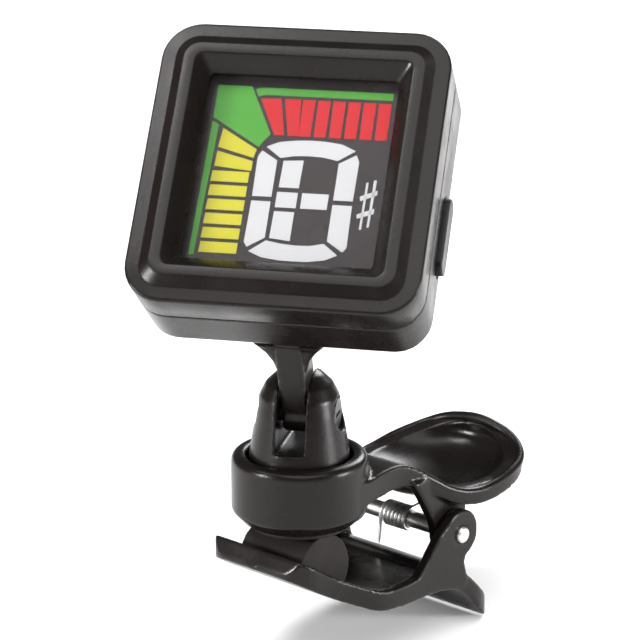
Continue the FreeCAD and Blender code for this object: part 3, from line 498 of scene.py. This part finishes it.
def easeEdges(piece, width):
    rounding = piece.modifiers.new("ease", "BEVEL")
    rounding.width = width * mm
    rounding.segments = easing["segments"]
    rounding.limit_method = "ANGLE"
    rounding.angle_limit = easing["limit"]
    pick(piece)
    bpy.ops.object.modifier_apply(modifier="ease")
    bpy.ops.object.shade_smooth_by_angle(angle=easing["smooth"])


# the loops run from the back edge up the outside, over the bezel's steps and down the inside
def caseLoops():
    low, high = caseLow / mm, caseHigh / mm
    width, height = high.x - low.x, high.y - low.y
    front = high.z - bezel["steps"][1][1]
    back = low.z
    lean = 2 * (front - back) * math.tan(math.radians(bezel["draft"]))
    corner, edge = bezel["corner"], bezel["edge"]
    turned = bezel["turned"] * edge
    loops = [(width - lean, height - lean, corner - bezel["cornerDraft"], back),
             (width, height, corner, front - edge),
             (width - 2 * turned, height - 2 * turned, corner - turned, front - turned),
             (width - 2 * edge, height - 2 * edge, corner - edge, front)]
    for inset, rise, radius in bezel["steps"]:
        loops.append((width - 2 * inset, height - 2 * inset, radius, front + rise))
    inner = 2 * bezel["wall"] + lean
    for z in (front + bezel["steps"][-1][1], back):
        loops.append((width - inner, height - inner, corner - bezel["wall"], z))
    return loops


def makeFrontCase():
    piece = loftedShell("front_case_bezel", caseLoops(), bezel["turns"])
    easeEdges(piece, bezel["ease"])
    piece.matrix_world = headFrame @ Matrix.Translation(Vector((0, headCentreY, 0)))
    settle(piece)
    dress(piece, finishes["black_case"], "head", "black_case", "front_case")


makeFrontCase()
print("front case made")


# the neck's flared root, which swells out of the arm into the head's back
neckRoot = dict(
    turns=6, ease=0.25,
    loops=[(11.6, 8.6, 2.4, 13.3, 8.4), (11.0, 8.0, 2.4, 12.4, 8.1), (8.2, 7.2, 2.0, 11.3, 7.2),
           (5.6, 6.6, 1.6, 9.9, 6.1), (4.3, 6.2, 1.2, 8.3, 5.0)],
)


def makeNeckRoot():
    piece = loftedShell("neck_root", neckRoot["loops"], neckRoot["turns"], plug=True)
    easeEdges(piece, neckRoot["ease"])
    piece.matrix_world = headFrame
    settle(piece)
    dress(piece, finishes["black_case"], "head", "black_case")


makeNeckRoot()
print("neck root made")


# the thumb pad's rolled rim: half its route in mm, from the ring back to the middle of the far end
thumbRim = dict(
    thick=0.72, sink=0.55, turns=4, steps=8, smooth=math.radians(40),
    path=[(9.6, 8.1, 7.2), (13.6, 8.3, 7.0), (17.5, 9.6, 4.7), (21.0, 10.8, 2.45), (25.0, 11.7, 1.3),
          (29.5, 12.0, 1.4), (34.0, 11.6, 2.2), (37.0, 10.6, 2.9), (38.9, 8.9, 3.8), (40.0, 6.4, 4.9),
          (40.25, 3.4, 5.7), (40.3, 0.0, 6.1)],
)


def makeThumbRim():
    near = [(x, -y, z) for x, y, z in thumbRim["path"]]
    whole = near + thumbRim["path"][-2::-1]
    wire = bpy.data.curves.new("thumb_rim", "CURVE")
    wire.dimensions = "3D"
    wire.bevel_depth = thumbRim["thick"] * mm
    wire.bevel_resolution = thumbRim["turns"]
    wire.resolution_u = thumbRim["steps"]
    wire.use_fill_caps = True
    line = wire.splines.new("BEZIER")
    line.bezier_points.add(len(whole) - 1)
    for point, (x, y, z) in zip(line.bezier_points, whole):
        point.co = (x * mm, y * mm, (z - thumbRim["sink"]) * mm)
        point.handle_left_type = "AUTO"
        point.handle_right_type = "AUTO"
    piece = bpy.data.objects.new("thumb_rim", wire)
    bpy.context.scene.collection.objects.link(piece)
    pick(piece)
    bpy.ops.object.convert(target="MESH")
    piece = bpy.context.active_object
    bpy.ops.object.shade_smooth_by_angle(angle=thumbRim["smooth"])
    dress(piece, finishes["black_case"], "upper_jaw", "black_case")


def makeSpring():
    piece = easedCopy("torsion_spring")
    piece.name = "torsion_coil"
    piece.data.materials.clear()
    piece.data.materials.append(finishes["spring_steel"])
    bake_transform(piece)
    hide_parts("torsion_spring")


makeSpring()
makeThumbRim()
print("spring and thumb rim made")


# the camera turns round the tilt axis and sits a little right of it and above it, in metres
view = dict(azimuth=-48.0, elevation=17.0, distance=0.4, lens=159.5, clip=0.01,
            across=0.002891, above=0.012835)


def placeCamera():
    az = math.radians(view["azimuth"])
    el = math.radians(view["elevation"])
    right = Vector((math.cos(az), math.sin(az), 0))
    back = Vector((math.sin(az) * math.cos(el), -math.cos(az) * math.cos(el), math.sin(el)))
    up = Vector((-math.sin(az) * math.sin(el), math.cos(az) * math.sin(el), math.cos(el)))
    aim = Vector(joints["head_tilt"]["pos_m"])
    data = bpy.data.cameras.new("camera")
    data.lens = view["lens"]
    data.clip_start = view["clip"]
    camera = bpy.data.objects.new("camera", data)
    spot = aim + back * view["distance"] + right * view["across"] + up * view["above"]
    turn = Matrix((right, up, back)).transposed().to_4x4()
    camera.matrix_world = Matrix.Translation(spot) @ turn
    bpy.context.scene.collection.objects.link(camera)
    bpy.context.scene.camera = camera
    return right, up, back, aim


right, up, back, aim = placeCamera()


# each lamp's place is given right of, above and towards the camera from the tilt axis, in metres
lamps = {
    "keyLamp": dict(offset=(-0.30, 0.50, 0.20), size=0.20, power=2.2),
    "leftStrip": dict(offset=(-0.42, 0.05, 0.22), size=0.09, power=2.4),
    "rightStrip": dict(offset=(0.42, 0.02, 0.10), size=0.08, power=2.0),
    "rearLamp": dict(offset=(0.22, 0.42, -0.36), size=0.22, power=2.0),
}
skylight = dict(power=2.7, spread=60, lean=(18, -14))
paper = dict(size=8.0, drop=0.0002, colour=(0.86, 0.86, 0.86), roughness=0.9, mottle=6.0,
             dark=(0.85, 0.85, 0.85), light=(0.88, 0.88, 0.88))
studio = dict(colour=(1.0, 1.0, 1.0, 1), strength=0.12)


def addLamp(name, look):
    data = bpy.data.lights.new(name, "AREA")
    data.size = look["size"]
    data.energy = look["power"]
    lamp = bpy.data.objects.new(name, data)
    side, rise, near = look["offset"]
    spot = aim + right * side + up * rise + back * near
    turn = (spot - aim).to_track_quat("Z", "Y").to_matrix().to_4x4()
    lamp.matrix_world = Matrix.Translation(spot) @ turn
    bpy.context.scene.collection.objects.link(lamp)


def addSkylight():
    data = bpy.data.lights.new("skylight", "SUN")
    data.energy = skylight["power"]
    data.angle = math.radians(skylight["spread"])
    lamp = bpy.data.objects.new("skylight", data)
    leanX, leanY = skylight["lean"]
    lamp.rotation_euler = (math.radians(leanX), math.radians(leanY), 0)
    bpy.context.scene.collection.objects.link(lamp)


def addFloor():
    clearSelection()
    bpy.ops.mesh.primitive_plane_add(size=paper["size"], location=(0, 0, cadBox[0].z - paper["drop"]))
    floor = bpy.context.active_object
    floor.name = "floor"
    material, tree, shader, place = startFinish("floorPaper", paper["colour"], paper["roughness"])
    tone = addRange(tree, addNoise(tree, place, paper["mottle"]), 0.0, 1.0)
    tree.links.new(addMix(tree, tone, paper["dark"], paper["light"]), shader.inputs["Base Color"])
    floor.data.materials.append(material)
    settle(floor)


def addStudio():
    world = bpy.data.worlds.new("studio")
    world.use_nodes = True
    background = world.node_tree.nodes["Background"]
    background.inputs["Color"].default_value = studio["colour"]
    background.inputs["Strength"].default_value = studio["strength"]
    bpy.context.scene.world = world
    bpy.context.scene.view_settings.view_transform = "Standard"


for name, look in lamps.items():
    addLamp(name, look)
addSkylight()
addFloor()
addStudio()
print("stage and lamps set")
